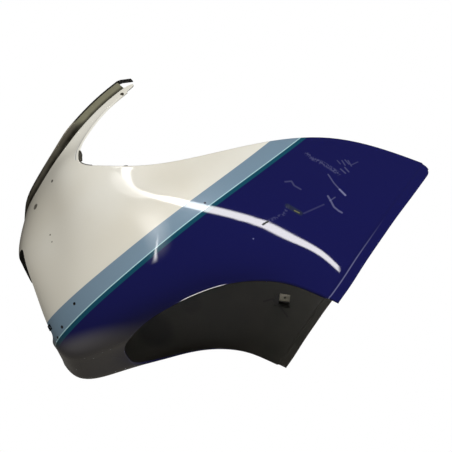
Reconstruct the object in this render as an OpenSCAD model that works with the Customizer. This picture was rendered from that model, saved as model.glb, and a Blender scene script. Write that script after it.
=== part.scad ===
// Upper fairing of a sport motorcycle, as taken off the machine.
// Axes: +Z up, nose towards -Y, the rider's left is +X, and X = 0 is the mirror plane.
// The two rear lower corners and the underside of the chin stand at Z = 0, and the origin is
// under the middle of the length.

/* [Size] */
// Width over the widest part of the two sides
shell_w = 552; // [500:1:600]
// Length from the nose to the rear edge
shell_l = 866; // [800:1:950]
// Height of the screen arms above the rear lower corners
shell_h = 604; // [550:1:660]
// Wall of the moulded shell
wall_t = 3; // [2.5:0.5:4]

/* [Edges] */
// Radius of the edge rolled inwards around the wheel opening
lip_r = 6; // [4:0.5:8]
// Radius of the rolled edge along the arms and the top of the sides
rim_r = 3.5; // [2.5:0.5:5]
// Width of the stepped strip along the rear edge
joggle_w = 19; // [12:1:24]
// Depth of that step
joggle_d = 2.5; // [1:0.5:3]
// Width of the sunk flange that the screen is screwed to
flange_w = 21; // [12:1:24]
// Depth of the sunk flange at the step
flange_d = 2.5; // [2:0.5:5]
// Lean of the flange away from the skin, in degrees
flange_lean = 15; // [0:1:20]

/* [Fittings] */
// Thickness of the rubber on each side of the screen flange
edging_t = 1.5; // [1:0.5:2.5]
// Depth to which that rubber grips the flange
edging_grip = 5; // [4:0.5:8]
// Length by which the rubber runs on past the tip of each arm, bending to the rear
edging_tail = 28; // [10:1:36]
// Thickness of the rubber pressed into the notch behind each arm
notch_rubber_t = 5; // [3:0.5:7]
// Side of the square boss on each rear bracket
boss_w = 26; // [22:1:30]
// Height of that boss from the inside of the wall
boss_h = 18; // [14:1:26]
// Radius of the threaded hole in each rear clip nut
rear_screw_r = 3; // [2.5:0.1:3.5]
// Radius of the threaded hole in each lamp clip nut
lamp_screw_r = 2.5; // [2:0.1:3]
// Radius of the plain hole through each side, near the nose
side_hole_r = 3; // [2:0.5:4]
// Sheet thickness of the clip nuts
clip_t = 1; // [0.8:0.1:1.5]
// Clearance between a clip nut and what it grips
clip_fit = 0.2; // [0.1:0.05:0.4]
// Clearance between each rubber and the edge that carries it
rubber_fit = 0.2; // [0.1:0.05:0.4]

/* [Hidden] */

PAINT = [0.88, 0.87, 0.82];
BLACK = [0.08, 0.08, 0.08];
STEEL = [0.55, 0.56, 0.58];

// Scale of the drawn guide lines to the chosen overall size, and the drawn place of the origin
size_k = [shell_w / 552, shell_l / 866, shell_h / 604];
drawn_origin = [0, -166, -1];

// Guide lines of the skin, each from the mirror plane to the rear edge. Their stations are the
// centre, the side of the lamp opening, the front crease, the notch behind the arm, three
// along the side, and the rear edge.
lip_line = [[0, -394, 29], [105, -378, 26], [154, -347, 37], [194, -290, 52],
    [227, -200, 68], [245, -108, 57], [253, -47, 27], [253, 0, -3]];
pan_line = [[0, -443, 15], [114, -428, 15], [171, -393, 36], [213, -326, 63],
    [246, -229, 90], [260, -119, 88], [264, -26, 67], [260, 34, 29]];
chin_line = [[0, -495, 8], [119, -484, 9], [181, -443, 47], [223, -370, 91],
    [255, -262, 121], [269, -140, 128], [272, -6, 110], [265, 70, 67]];
cheek_line = [[0, -529, 38], [115, -529, 42], [173, -485, 93], [220, -407, 141],
    [256, -295, 165], [272, -165, 172], [275, 9, 161], [268, 113, 109]];
mid_line = [[0, -579, 144], [124, -558, 144], [169, -505, 167], [219, -431, 206],
    [254, -315, 215], [272, -180, 222], [275, 24, 221], [271, 158, 153]];
shoulder_line = [[0, -599, 246], [112, -587, 244], [171, -505, 270], [216, -446, 291],
    [247, -316, 279], [265, -175, 287], [269, 45, 291], [268, 211, 201]];
top_line = [[0, -593, 314], [99, -568, 350], [164, -516, 365], [212, -456, 373],
    [239, -306, 334], [254, -141, 350], [261, 77, 360], [261, 276, 262]];
body_lines = [lip_line, pan_line, chin_line, cheek_line, mid_line, shoulder_line, top_line];

// Screen arm: points up its rear edge, and the step from its front edge to its rear edge
arm_rear = [[206, -444, 410], [198, -421, 461], [190, -372, 532], [182, -312, 590]];
arm_step = [[19, 31, -23], [10, 21, -19], [5, 15, -13], [2, 12, -12]];

// Stations and lines of the net
LAST_ST = 8;
LAST_LINE = 10;
LAMP_ST = 2;
ARM_FRONT_ST = 3;
ARM_REAR_ST = 4;
TOP = 6;
LAMP_LOW = 3;
LAMP_HIGH = 5;

function lerp(a, b, t) = a + (b - a) * t;
function unit(v) = v / norm(v);
function flip(p) = [-p.x, p.y, p.z];
function scaled(p) = let (q = p - drawn_origin) [q.x * size_k.x, q.y * size_k.y, q.z * size_k.z];

// The nose is a parabola in plan, so its half-way station follows from its two neighbours
function nose_half(c, s) = [s.x / 2, lerp(c.y, s.y, 1 / 4), lerp(c.z, s.z, 1 / 4)];
function full_line(l) = [
    for (k = [0:LAST_ST]) scaled(k == 0 ? l[0] : k == 1 ? nose_half(l[0], l[1]) : l[k - 1])
];
net_body = [for (l = body_lines) full_line(l)];
net_arm = [
    for (n = [0:3]) [
        for (k = [0:LAST_ST])
            k >= LAMP_ST - 1 && k <= ARM_REAR_ST + 1
                ? scaled(arm_rear[n] + (k - ARM_REAR_ST) * arm_step[n])
                : net_body[TOP][k] + (n + 1) * (net_body[TOP][k] - net_body[TOP - 1][k])
    ]
];
net = concat(net_body, net_arm);

// Spline weights that make a smooth skin pass the drawn points
function pull(a, b, c) = b - (a - 2 * b + c) / 6;
function st_weights(l) = let (
        inner = concat(
            [pull(flip(l[2]), flip(l[1]), l[0]), pull(flip(l[1]), l[0], l[1])],
            [for (k = [1:LAST_ST - 1]) pull(l[k - 1], l[k], l[k + 1])]
        ),
        end = l[LAST_ST]
    )
    concat(inner, [end, 2 * end - inner[LAST_ST]]);
by_station = [for (l = net) st_weights(l)];
by_line = [
    for (r = [0:LAST_LINE])
        r == 0 || r == LAST_LINE
            ? by_station[r]
            : [
                for (k = [0:LAST_ST + 2])
                    pull(by_station[r - 1][k], by_station[r][k], by_station[r + 1][k])
            ]
];
weights = concat(
    [2 * by_line[0] - by_line[1]],
    by_line,
    [2 * by_line[LAST_LINE] - by_line[LAST_LINE - 1]]
);

// Uniform cubic spline: the share of each of four neighbours, and its rate of change
function blend(t) = [
    pow(1 - t, 3),
    3 * pow(t, 3) - 6 * t * t + 4,
    -3 * pow(t, 3) + 3 * t * t + 3 * t + 1,
    pow(t, 3)
] / 6;
function blend_rate(t) = [-pow(1 - t, 2), 3 * t * t - 4 * t, -3 * t * t + 2 * t + 1, t * t] / 2;

// Point of the skin at station u and line v, with its two tangents
function skin(u, v) = let (
        i = min(floor(u), LAST_ST - 1),
        j = min(floor(v), LAST_LINE - 1),
        q = [for (r = [0:3]) [for (k = [0:3]) weights[j + r][i + k]]],
        bu = blend(u - i),
        du = blend_rate(u - i),
        bv = blend(v - j),
        dv = blend_rate(v - j),
        rows = [for (r = [0:3]) bu * q[r]]
    )
    [bv * rows, bv * [for (r = [0:3]) du * q[r]], dv * rows];
function skin_normal(s) = unit(cross(s[1], s[2]));

// Outline of the skin above the lamp opening, as a path a = 0 to 8: the screen edge up to the
// foot of the arm, across the foot, down into the notch, and back along the top of the side
foot_v = 7.4;
notch_v = 6.35;
notch_u = 0.25;
function curve(p, t) = lerp(
    lerp(lerp(p[0], p[1], t), lerp(p[1], p[2], t), t),
    lerp(lerp(p[1], p[2], t), lerp(p[2], p[3], t), t),
    t
);
screen_bend = [[1.5, TOP], [2.4, TOP], [ARM_FRONT_ST, 6.3], [ARM_FRONT_ST, foot_v]];
function outline(a) =
    a <= 1.5 ? [a, TOP]
    : a <= 3 ? curve(screen_bend, (a - 1.5) / 1.5)
    : a <= 4 ? [a, foot_v]
    : a <= 4.15 ? [ARM_REAR_ST, lerp(foot_v, notch_v, (a - 4) / 0.15)]
    : a <= 4.5 ? let (th = (a - 4.15) / 0.35 * 90)
        [ARM_REAR_ST + notch_u * (1 - cos(th)), notch_v - (notch_v - TOP) * sin(th)]
    : [lerp(ARM_REAR_ST + notch_u, LAST_ST, (a - 4.5) / 3.5), TOP];

// Columns of the grid: path position a, or the distance from the rear edge for the last ones
joggle_run = 3;
rear_gaps = [joggle_w + 2 * joggle_run, joggle_w + joggle_run, joggle_w, joggle_w / 2, 0];
cols_a = concat(
    [0, 0.5, 1, 1.5, 1.84, 1.94, 2, 2.2, 2.45, 2.72, 3, 3.33, 3.67, 4, 4.08, 4.15, 4.27, 4.38, 4.5],
    [for (k = [1:9]) 4.5 + 0.35 * k],
    [for (g = rear_gaps) 8]
);
REAR_COLS = len(rear_gaps);
NC = len(cols_a) - 1;
col_lamp = 6;
col_front = 10;
col_rear = 13;

// Rows: three for the rolled lip, one where the lip starts, the rest by line
lip_angles = [80, 50, 25];
rows_b = [
    0, 0, 0, 0, 0.5, 1, 1.5, 2, 2.5, 2.8, 3, 3.04, 3.1, 3.3, 3.65, 4, 4.45, 4.9, 4.96, 5, 5.35, 5.7, 5.88, 6
];
NB = len(rows_b) - 1;
row_lip = 3;
row_low = 10;
row_clip = 12;
row_high = 19;

// Round corners: of the upper rear corner in millimetres, and of the lamp opening as shares of
// a station and of a line
corner_r = 26;
lamp_corner = [0.16, 0.1];

function rear_gap(i) = rear_gaps[i - (NC + 1 - REAR_COLS)];
function is_rear(i) = i > NC - REAR_COLS;
function rear_u(v, gap) = LAST_ST - gap / norm(skin(LAST_ST, v)[1]);
function rounded(p, q) = [
    1 - (1 - p) * sqrt(1 - pow(1 - q, 2) / 2),
    1 - (1 - q) * sqrt(1 - pow(1 - p, 2) / 2)
];

// Edge of the lamp opening, rounded where it comes near one of its corners
function lamp_round(a, b) = let (
        low = b < (LAMP_LOW + LAMP_HIGH) / 2,
        p = (LAMP_ST - a) / lamp_corner[0],
        q = (low ? b - LAMP_LOW : LAMP_HIGH - b) / lamp_corner[1],
        r = rounded(p, q),
        rise = lamp_corner[1] * r[1]
    )
    p < 1 && q < 1
        ? [LAMP_ST - lamp_corner[0] * r[0], low ? LAMP_LOW + rise : LAMP_HIGH - rise]
        : [a, b];

// Station and line of the grid point in column i and row j
function place(i, j) = let (a = cols_a[i], b = rows_b[j])
    is_rear(i) ? let (
            drop = (TOP - b) * norm(skin(LAST_ST, TOP)[2]),
            gap = rear_gap(i),
            near = drop < corner_r && gap < corner_r,
            c = near ? corner_r * rounded(gap / corner_r, drop / corner_r) : [gap, drop],
            v = near ? TOP - c[1] / norm(skin(LAST_ST, TOP)[2]) : b
        )
        [rear_u(v, c[0]), v]
    : a > 4.5 ? let (
            left = lerp(4.5, ARM_REAR_ST + notch_u, max(0, b - LAMP_HIGH)),
            t = (a - 4.5) / (0.35 * 10)
        )
        [lerp(left, rear_u(b, rear_gaps[0]), t), b]
    : b > LAMP_HIGH ? lerp([a, LAMP_HIGH], outline(a), b - LAMP_HIGH)
    : a <= LAMP_ST && b >= LAMP_LOW ? lamp_round(a, b)
    : [a, b];

// Skin sample: point, outward normal, and the direction off the edge
function sample(u, v) = let (s = skin(u, v), n = skin_normal(s)) [s[0], n, unit(cross(n, s[1]))];
function lip_sample(u, ang) = let (
        v0 = lip_r / norm(skin(u, 0)[2]),
        f = sample(u, v0),
        out = -f[2]
    )
    [f[0] + lip_r * (sin(ang) * out - (1 - cos(ang)) * f[1]), cos(ang) * f[1] + sin(ang) * out];
function step_in(i) = !is_rear(i) ? 0 : rear_gap(i) > joggle_w + joggle_run ? 0
    : rear_gap(i) > joggle_w ? joggle_d / 2 : joggle_d;

// Each grid vertex is [outer point, inner point]
function wall(p, n) = [p, p - wall_t * n];
function grid_vertex(i, j) = let (
        uv = place(i, j),
        f = j <= row_lip ? lip_sample(uv[0], j == row_lip ? 0 : lip_angles[j]) : sample(uv[0], uv[1]),
        n = f[1]
    )
    wall(f[0] - step_in(i) * n, n);
grid_vertices = [for (i = [0:NC]) for (j = [0:NB]) grid_vertex(i, j)];
function gid(i, j) = i * (NB + 1) + j;

// Arm above its foot
arm_vs = [7.7, 8, 8.4, 8.8, 9.2, 9.6, 10];
NA = len(arm_vs);
tip_round = 0.25;
function arm_v(a, r) = r == NA ? LAST_LINE - tip_round * pow(2 * abs(a - 3.5), 3) : arm_vs[r - 1];
arm_vertices = [
    for (i = [col_front:col_rear]) for (r = [1:NA])
        let (a = cols_a[i], f = sample(a, arm_v(a, r)))
        wall(f[0], f[1])
];
arm_base = len(grid_vertices);
function aid(i, r) = r == 0 ? gid(i, NB) : arm_base + (i - col_front) * NA + r - 1;

// Strips hung on the outline: the sunk flange in front, the rolled rim behind
front_ids = concat([for (i = [0:col_front]) gid(i, NB)], [for (r = [1:NA]) aid(col_front, r)]);
rear_ids = concat([for (r = [NA:-1:1]) aid(col_rear, r)], [for (i = [col_rear:NC]) gid(i, NB)]);
plain_vertices = concat(grid_vertices, arm_vertices);
function strip_frame(ids, k, start_mirrored) = let (
        n0 = len(ids) - 1,
        p = plain_vertices[ids[k]],
        prev = k > 0 ? plain_vertices[ids[k - 1]][0]
            : start_mirrored ? flip(plain_vertices[ids[1]][0]) : p[0],
        next = k < n0 ? plain_vertices[ids[k + 1]][0] : p[0],
        n = unit(p[0] - p[1])
    )
    [p[0], n, unit(cross(n, next - prev))];
flange_step = 3;
function on_flange(w) = [
    flange_step + w * cos(flange_lean),
    w * sin(flange_lean) - flange_d,
    -flange_lean
];
flange_profile = [
    [flange_step / 2, -flange_d / 2, 40],
    [flange_step, -flange_d, 10],
    on_flange(flange_w - edging_grip),
    on_flange(flange_w)
];
NS = len(flange_profile);
rim_profile = [for (m = [1:NS]) let (ang = m * 85 / NS) [rim_r * sin(ang), -rim_r * (1 - cos(ang)), ang]];
function hang(f, s) = wall(f[0] + s[0] * f[2] + s[1] * f[1], cos(s[2]) * f[1] + sin(s[2]) * f[2]);
front_frames = [for (k = [0:len(front_ids) - 1]) strip_frame(front_ids, k, true)];
rear_frames = [for (k = [0:len(rear_ids) - 1]) strip_frame(rear_ids, k, false)];
front_vertices = [for (f = front_frames) for (s = flange_profile) hang(f, s)];
rear_vertices = [for (f = rear_frames) for (s = rim_profile) hang(f, s)];
front_base = len(plain_vertices);
rear_base = front_base + len(front_vertices);
function fid(k, m) = m == 0 ? front_ids[k] : front_base + k * NS + m - 1;
function rid(k, m) = m == 0 ? rear_ids[k] : rear_base + k * NS + m - 1;
half_vertices = concat(plain_vertices, front_vertices, rear_vertices);
HV = len(half_vertices);
NF = len(front_ids) - 1;
NR = len(rear_ids) - 1;

// Quads of the left half, seen from outside in the order right, up, left, down
quads = concat(
    [
        for (i = [0:NC - 1]) for (j = [0:NB - 1])
            if (!(i < col_lamp && j >= row_low && j < row_high))
                [gid(i, j), gid(i + 1, j), gid(i + 1, j + 1), gid(i, j + 1)]
    ],
    [
        for (i = [col_front:col_rear - 1]) for (r = [0:NA - 1])
            [aid(i, r), aid(i + 1, r), aid(i + 1, r + 1), aid(i, r + 1)]
    ],
    [
        for (k = [0:NF - 1]) for (m = [0:NS - 1])
            [fid(k, m), fid(k + 1, m), fid(k + 1, m + 1), fid(k, m + 1)]
    ],
    [
        for (k = [0:NR - 1]) for (m = [0:NS - 1])
            [rid(k, m), rid(k + 1, m), rid(k + 1, m + 1), rid(k, m + 1)]
    ]
);

// Free edges of the left half, with the skin on the left-hand side of the direction of travel
outer_rim = concat(
    [for (i = [0:NC]) gid(i, 0)],
    [for (j = [1:NB]) gid(NC, j)],
    [for (m = [1:NS]) rid(NR, m)],
    [for (k = [NR - 1:-1:0]) rid(k, NS)],
    [for (m = [NS - 1:-1:0]) rid(0, m)],
    [for (i = [col_rear - 1:-1:col_front]) aid(i, NA)],
    [for (m = [1:NS]) fid(NF, m)],
    [for (k = [NF - 1:-1:0]) fid(k, NS)]
);
lamp_rim = concat(
    [for (i = [0:col_lamp]) gid(i, row_high)],
    [for (j = [row_high - 1:-1:row_low]) gid(col_lamp, j)],
    [for (i = [col_lamp - 1:-1:0]) gid(i, row_low)]
);

// Vertices on the mirror plane are shared by both halves
function on_plane(id) = abs(half_vertices[id][0].x) < 0.001;
function vertex(id, inner, left) = (left || on_plane(id) ? 0 : 2 * HV) + (inner ? HV : 0) + id;
function ring(ids, inner, left) = [for (id = ids) vertex(id, inner, left)];
function turned(f) = [for (k = [len(f) - 1:-1:0]) f[k]];
function triangles(q) = [[q[0], q[1], q[2]], [q[0], q[2], q[3]]];
function half_faces(left) = [
    for (q = quads)
        for (t = triangles(q))
            for (inner = [false, true])
                let (f = ring(t, inner, left))
                (inner == left) ? f : turned(f)
];
function rim_faces(rim, left) = [
    for (k = [0:len(rim) - 2])
        let (
            a = vertex(rim[k], false, left),
            b = vertex(rim[k + 1], false, left),
            c = vertex(rim[k + 1], true, left),
            d = vertex(rim[k], true, left)
        )
        for (t = triangles([a, b, c, d])) left ? t : turned(t)
];
shell_points = concat(
    [for (v = half_vertices) v[0]],
    [for (v = half_vertices) v[1]],
    [for (v = half_vertices) flip(v[0])],
    [for (v = half_vertices) flip(v[1])]
);

// Places on the left side where something is fixed, as [station, line]
side_hole_at = [3.03, 2.87];
boss_at = [7.18, 3.66];
lamp_clip_inset = 5;

// Stand on a point with its normal z and its upward direction y; x then points to the rear
module stand(f) {
    rear = cross(f[2], f[1]);
    multmatrix([
        [rear.x, f[2].x, f[1].x, f[0].x],
        [rear.y, f[2].y, f[1].y, f[0].y],
        [rear.z, f[2].z, f[1].z, f[0].z],
        [0, 0, 0, 1]
    ])
        children();
}
module on_skin(at) {
    stand(sample(at[0], at[1]))
        children();
}

// Stand on the flat of the wall at the side of the lamp opening, where its clip nut grips
module on_lamp_edge() {
    low = grid_vertex(col_lamp, row_clip)[0];
    high = grid_vertex(col_lamp, row_clip + 1)[0];
    behind = (grid_vertex(col_lamp + 1, row_clip)[0] + grid_vertex(col_lamp + 1, row_clip + 1)[0]) / 2;
    n = unit(cross(behind - (low + high) / 2, high - low));
    stand([(low + high) / 2, n, unit(high - low)])
        children();
}

// Stand on the inside of the wall: z points into the fairing
module in_wall(at) {
    on_skin(at)
        translate([0, 0, -wall_t])
            rotate([180, 0, 0])
                children();
}

module right_side() {
    mirror([1, 0, 0])
        children();
}

module skin_sheet() {
    polyhedron(
        points = shell_points,
        faces = [
            for (left = [true, false])
                each concat(half_faces(left), rim_faces(outer_rim, left), rim_faces(lamp_rim, left))
        ]
    );
}

drill_l = 4 * wall_t;
module side_drillings() {
    on_skin(side_hole_at)
        cylinder(r = side_hole_r, h = drill_l, center = true, $fn = 48);
    on_lamp_edge()
        translate([lamp_clip_inset, 0, 0])
            cylinder(r = lamp_screw_r + clip_fit, h = drill_l, center = true, $fn = 48);
}

// The one-piece moulding with its drilled holes
module fairing_shell() {
    color(PAINT)
        difference() {
            skin_sheet();
            side_drillings();
            right_side()
                side_drillings();
        }
}

// A profile carried along a row of frames, closed at both ends. Its faces are split along the
// same diagonals as the wall's, which change hands at the mirror plane, frame number middle.
module strip(frames, profile, middle = 0) {
    n = len(profile);
    last = len(frames) - 1;
    polyhedron(
        points = [for (f = frames) for (q = profile) f[0] + q[0] * f[2] + q[1] * f[1]],
        faces = concat(
            [
                for (i = [0:last - 1]) for (j = [0:n - 1])
                    let (
                        k = (j + 1) % n,
                        a = i * n + j,
                        b = i * n + k,
                        c = a + n,
                        d = b + n,
                        outwards = profile[j][0] < profile[k][0]
                    )
                    each outwards == (i >= middle) ? [[a, b, d], [a, d, c]] : [[a, b, c], [b, d, c]]
            ],
            [[for (j = [n - 1:-1:0]) j]],
            [[for (j = [0:n - 1]) last * n + j]]
        )
    );
}

// Rubber edging pushed over the edge of the screen flange, round both arms and the nose, that
// runs on past the tip of each arm
edging_out = flange_w + edging_t;
edging_in = flange_w - edging_grip;
slot_end = flange_w + rubber_fit;
slot_out = rubber_fit;
slot_in = -wall_t - rubber_fit;
edging_profile = [
    [edging_in, slot_out + edging_t],
    [edging_out, slot_out + edging_t],
    [edging_out, slot_in - edging_t],
    [edging_in, slot_in - edging_t],
    [edging_in, slot_in],
    [slot_end, slot_in],
    [slot_end, slot_out],
    [edging_in, slot_out]
];
function flange_frame(f) = [
    f[0] + flange_step * f[2] - flange_d * f[1],
    cos(flange_lean) * f[1] - sin(flange_lean) * f[2],
    cos(flange_lean) * f[2] + sin(flange_lean) * f[1]
];

// The loose tail of the rubber: straight on, then half turned, then level to the rear
tail_shares = [0.25, 0.3, 0.45];
tail_level = [0, 1, 0];
function carried_on(frames, run) = let (
        last = frames[len(frames) - 1],
        way = unit(last[0] - frames[len(frames) - 2][0]),
        straight = last[0] + tail_shares[0] * run * way,
        turned = straight + tail_shares[1] * run * unit(way + tail_level),
        level = turned + tail_shares[2] * run * tail_level
    )
    concat(frames, [for (p = [straight, turned, level]) [p, last[1], last[2]]]);
module screen_edge_rubber() {
    left = carried_on([for (f = front_frames) flange_frame(f)], edging_tail);
    right = [for (k = [len(left) - 1:-1:1]) [for (v = left[k]) flip(v)]];
    color(BLACK)
        strip(concat(right, left), edging_profile, len(right));
}

// Rubber strip pressed against the rim in the notch behind the left arm
notch_rubber_h = 9;
notch_bevel = 1;
notch_near = rim_r + rubber_fit;
notch_far = rim_r + notch_rubber_t;
notch_profile = [
    [notch_near, 0],
    [notch_far, -notch_bevel],
    [notch_far, notch_bevel - notch_rubber_h],
    [notch_near, -notch_rubber_h],
    [notch_near, rim_profile[NS - 1][1]]
];
notch_first = NA + 1;
notch_last = NA + 5;
module notch_rubber() {
    color(BLACK)
        strip([for (k = [notch_first:notch_last]) rear_frames[k]], notch_profile);
}
module left_notch_rubber() {
    notch_rubber();
}
module right_notch_rubber() {
    right_side()
        notch_rubber();
}

// Rear bracket bonded inside the left wall: a base plate, a square boss and a blind hole in it
bracket_plate = [44, 34, 2.5];
plate_shift = [-4, 3, 0];
bond_t = 0.6;
barrel_wall = 0.8;
boss_hole_r = rear_screw_r + barrel_wall + clip_fit;
module rear_bracket() {
    color(BLACK)
        in_wall(boss_at)
            translate([0, 0, bond_t])
                difference() {
                    union() {
                        translate(plate_shift - [bracket_plate.x / 2, bracket_plate.y / 2, 0])
                            cube(bracket_plate);
                        translate([-boss_w / 2, -boss_w / 2, 0])
                            cube([boss_w, boss_w, boss_h]);
                    }
                    translate([0, 0, bracket_plate.z])
                        cylinder(r = boss_hole_r, h = boss_h, $fn = 48);
                }
}
module left_rear_bracket() {
    rear_bracket();
}
module right_rear_bracket() {
    right_side()
        rear_bracket();
}

// Clip nut over the boss: a face plate, two legs down its sides and a threaded barrel in its hole
clip_leg = 9;
clip_edge = 3;
barrel_h = 6;
overcut = 1;
module rear_clip_nut() {
    inside = boss_w + 2 * clip_fit;
    plate_y = boss_w - 2 * clip_edge;
    top = bond_t + boss_h + clip_fit;
    color(STEEL)
        in_wall(boss_at)
            difference() {
                union() {
                    translate([-inside / 2 - clip_t, -plate_y / 2, top])
                        cube([inside + 2 * clip_t, plate_y, clip_t]);
                    for (x = [-inside / 2 - clip_t, inside / 2])
                        translate([x, -plate_y / 2, top - clip_leg])
                            cube([clip_t, plate_y, clip_leg + clip_t]);
                    translate([0, 0, top - barrel_h])
                        cylinder(r = rear_screw_r + barrel_wall, h = barrel_h + clip_t, $fn = 48);
                }
                translate([0, 0, top - barrel_h - overcut])
                    cylinder(r = rear_screw_r, h = barrel_h + clip_t + 2 * overcut, $fn = 48);
            }
}
module left_rear_clip_nut() {
    rear_clip_nut();
}
module right_rear_clip_nut() {
    right_side()
        rear_clip_nut();
}

// Clip nut pushed over the side edge of the lamp opening: two legs, a bend and a barrel inside
lamp_clip_w = 11;
lamp_clip_l = 10;
module lamp_clip_nut() {
    bend_x = -clip_fit - clip_t;
    leg_in = -wall_t - clip_fit - clip_t;
    color(BLACK)
        on_lamp_edge()
            difference() {
                union() {
                    for (z = [clip_fit, leg_in])
                        translate([bend_x, -lamp_clip_w / 2, z])
                            cube([lamp_clip_l, lamp_clip_w, clip_t]);
                    translate([bend_x, -lamp_clip_w / 2, leg_in])
                        cube([clip_t, lamp_clip_w, wall_t + 2 * clip_fit + 2 * clip_t]);
                    translate([lamp_clip_inset, 0, leg_in + clip_t - barrel_h])
                        cylinder(r = lamp_screw_r + barrel_wall, h = barrel_h, $fn = 48);
                }
                translate([lamp_clip_inset, 0, leg_in + clip_t - barrel_h - overcut])
                    cylinder(r = lamp_screw_r, h = wall_t + barrel_h + 4 * overcut, $fn = 48);
            }
}
module left_lamp_clip_nut() {
    lamp_clip_nut();
}
module right_lamp_clip_nut() {
    right_side()
        lamp_clip_nut();
}

fairing_shell();
screen_edge_rubber();
left_notch_rubber();
right_notch_rubber();
left_rear_bracket();
right_rear_bracket();
left_rear_clip_nut();
right_rear_clip_nut();
left_lamp_clip_nut();
right_lamp_clip_nut();
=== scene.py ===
import math
import bmesh
import bpy
import numpy as np
from mathutils import Matrix, Vector


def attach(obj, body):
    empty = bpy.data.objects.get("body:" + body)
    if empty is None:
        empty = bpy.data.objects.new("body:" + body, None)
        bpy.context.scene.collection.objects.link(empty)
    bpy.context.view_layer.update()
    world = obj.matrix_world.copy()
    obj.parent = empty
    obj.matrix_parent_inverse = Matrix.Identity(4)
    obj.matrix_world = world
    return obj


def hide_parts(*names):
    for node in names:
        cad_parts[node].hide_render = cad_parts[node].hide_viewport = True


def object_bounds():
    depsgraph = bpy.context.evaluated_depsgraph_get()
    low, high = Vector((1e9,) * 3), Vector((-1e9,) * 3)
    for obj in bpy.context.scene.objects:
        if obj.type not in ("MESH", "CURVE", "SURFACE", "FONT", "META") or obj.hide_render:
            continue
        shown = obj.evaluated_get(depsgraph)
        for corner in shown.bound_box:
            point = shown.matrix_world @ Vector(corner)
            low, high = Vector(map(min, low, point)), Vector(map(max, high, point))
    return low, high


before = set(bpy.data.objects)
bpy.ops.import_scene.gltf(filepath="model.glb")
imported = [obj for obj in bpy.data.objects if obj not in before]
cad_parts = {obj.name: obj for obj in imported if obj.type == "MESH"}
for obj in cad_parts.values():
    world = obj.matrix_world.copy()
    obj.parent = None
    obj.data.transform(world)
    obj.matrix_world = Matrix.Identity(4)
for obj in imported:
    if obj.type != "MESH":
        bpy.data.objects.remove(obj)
cad_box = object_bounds()

# Camera: low on the rider's left, ahead of the middle, looking up at the inside of the far side.
# The lens and the place come from the vanishing directions of the part's width and height.
camera_at = Vector((1.27555, -0.20553, -0.31730))
camera_look = Vector((-0.88681, 0.16637, 0.43115))
camera_up = Vector((0.45006, 0.09907, 0.88749))
camera_focus_px = 600
picture_px = 452
camera = bpy.data.objects.new("camera", bpy.data.cameras.new("camera"))
bpy.context.scene.collection.objects.link(camera)
bpy.context.scene.camera = camera
camera.data.sensor_width = 36
camera.data.lens = 36 * camera_focus_px / picture_px
camera_right = camera_look.cross(camera_up).normalized()
camera.matrix_world = Matrix.Translation(camera_at) @ Matrix(
    (camera_right, camera_right.cross(camera_look), -camera_look)
).transposed().to_4x4()

# Moulded shell: one piece of ABS, 3 mm thick, sprayed outside and bare black inside.
# Its skin is a smooth net over seven guide lines from the wheel opening to the top edge and four
# lines up the screen arm, each with stations from the mirror plane to the rear edge.
# Lengths are in metres, but for the drawn guide lines and arms, which are in millimetres.
wall = 0.003
lip_r = 0.006
rim_r = 0.0035
joggle_w = 0.019
joggle_d = 0.0025
joggle_run = 0.003
flange_w = 0.021
flange_d = 0.0025
flange_step = 0.003
flange_lean = math.radians(15)
drawn_origin = np.array([0, -166, -1])
guide_lines = [
    [[0, -394, 29], [105, -378, 26], [154, -347, 37], [194, -290, 52],
     [227, -200, 68], [245, -108, 57], [253, -47, 27], [253, 0, -3]],
    [[0, -443, 15], [114, -428, 15], [171, -393, 36], [213, -326, 63],
     [246, -229, 90], [260, -119, 88], [264, -26, 67], [260, 34, 29]],
    [[0, -495, 8], [119, -484, 9], [181, -443, 47], [223, -370, 91],
     [255, -262, 121], [269, -140, 128], [272, -6, 110], [265, 70, 67]],
    [[0, -529, 38], [115, -529, 42], [173, -485, 93], [220, -407, 141],
     [256, -295, 165], [272, -165, 172], [275, 9, 161], [268, 113, 109]],
    [[0, -579, 144], [124, -558, 144], [169, -505, 167], [219, -431, 206],
     [254, -315, 215], [272, -180, 222], [275, 24, 221], [271, 158, 153]],
    [[0, -599, 246], [112, -587, 244], [171, -505, 270], [216, -446, 291],
     [247, -316, 279], [265, -175, 287], [269, 45, 291], [268, 211, 201]],
    [[0, -593, 314], [99, -568, 350], [164, -516, 365], [212, -456, 373],
     [239, -306, 334], [254, -141, 350], [261, 77, 360], [261, 276, 262]],
]
arm_rear = [[206, -444, 410], [198, -421, 461], [190, -372, 532], [182, -312, 590]]
arm_step = [[19, 31, -23], [10, 21, -19], [5, 15, -13], [2, 12, -12]]
last_station, last_line = 8, 10
lamp_station, arm_front, arm_back = 2, 3, 4
lamp_low, lamp_high, top_line = 3, 5, 6
foot_v, notch_v, notch_u = 7.4, 6.35, 0.25
foot_start, notch_top, notch_end = 1.5, 4.15, 4.5
foot_bend = [(1.5, top_line), (2.4, top_line), (arm_front, 6.3), (arm_front, foot_v)]
corner_r = 0.026
lamp_corner = (0.16, 0.1)
mirror = np.array([-1.0, 1.0, 1.0])


def guide_net():
    body = []
    for line in np.array(guide_lines, float):
        halfway = [line[1, 0] / 2, *(line[0, 1:] + (line[1, 1:] - line[0, 1:]) / 4)]
        body.append(np.vstack([line[:1], [halfway], line[1:]]))
    shoulder, top = body[-2], body[-1]
    arms = []
    for n, (rear, step) in enumerate(zip(np.array(arm_rear, float), np.array(arm_step, float))):
        row = top + (n + 1) * (top - shoulder)
        for k in range(lamp_station - 1, arm_back + 2):
            row[k] = rear + (k - arm_back) * step
        arms.append(row)
    return (np.array(body + arms) - drawn_origin) / 1000


def pulled(a):
    b = a.copy()
    b[1:-1] = a[1:-1] - (a[:-2] - 2 * a[1:-1] + a[2:]) / 6
    return b


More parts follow.
